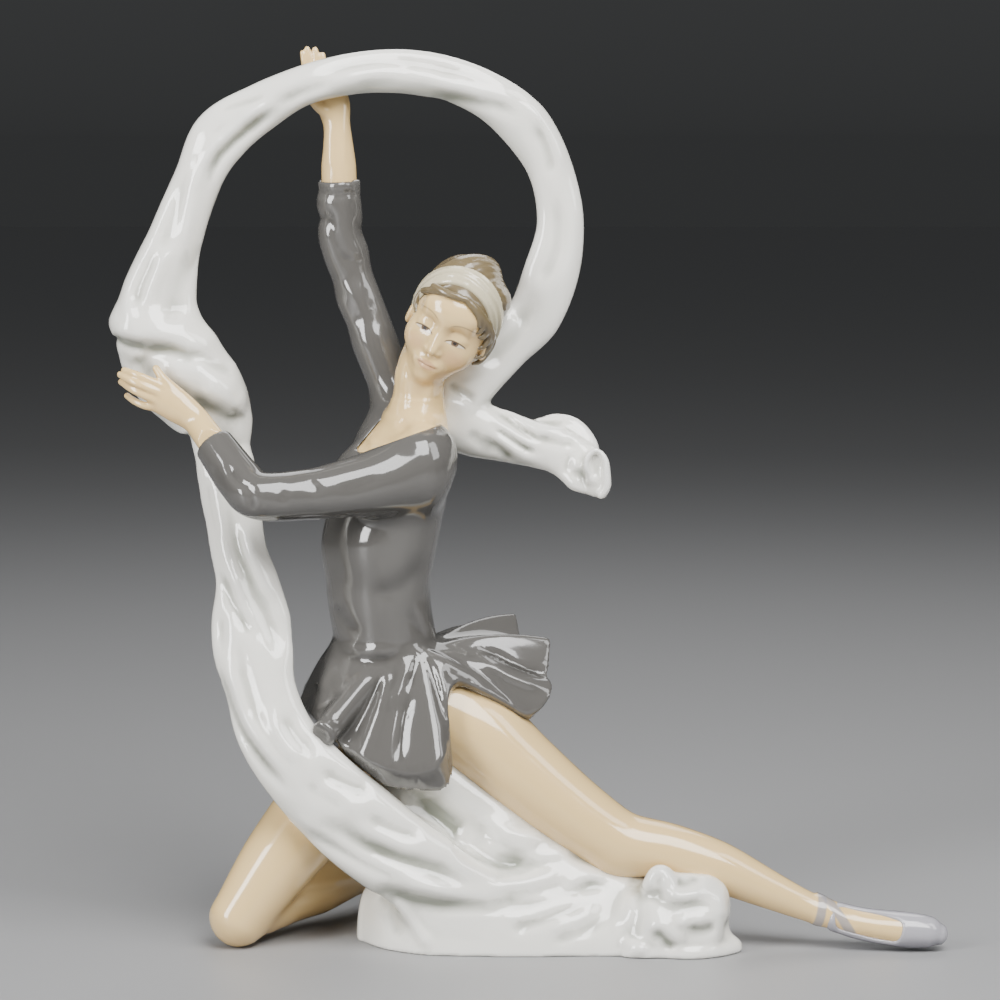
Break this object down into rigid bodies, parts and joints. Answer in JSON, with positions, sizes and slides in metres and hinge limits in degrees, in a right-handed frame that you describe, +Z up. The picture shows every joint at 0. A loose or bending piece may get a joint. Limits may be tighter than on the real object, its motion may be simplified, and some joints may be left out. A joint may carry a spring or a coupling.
{
  "type": "porcelain dancer figurine",
  "caption": "Glazed porcelain figurine of a dancer in a kneeling lunge under a long veil that loops over her and spreads into the base.",
  "frame": {"origin": "on the flat underside of the veil's base, level with the floor, under the middle of the figure's width", "axes": "+Z up to the raised fingertips, +X towards the stretched foot, -Y towards the viewer who sees her full length"},
  "size_m": [0.3613, 0.1348, 0.3894],
  "materials": {
    "glazed_porcelain": "glossy clear glaze over underglaze colours: cream skin, grey dress, white veil"
  },
  "bodies": {
    "root": {"dancer": "glazed_porcelain"}
  },
  "joints": []
}
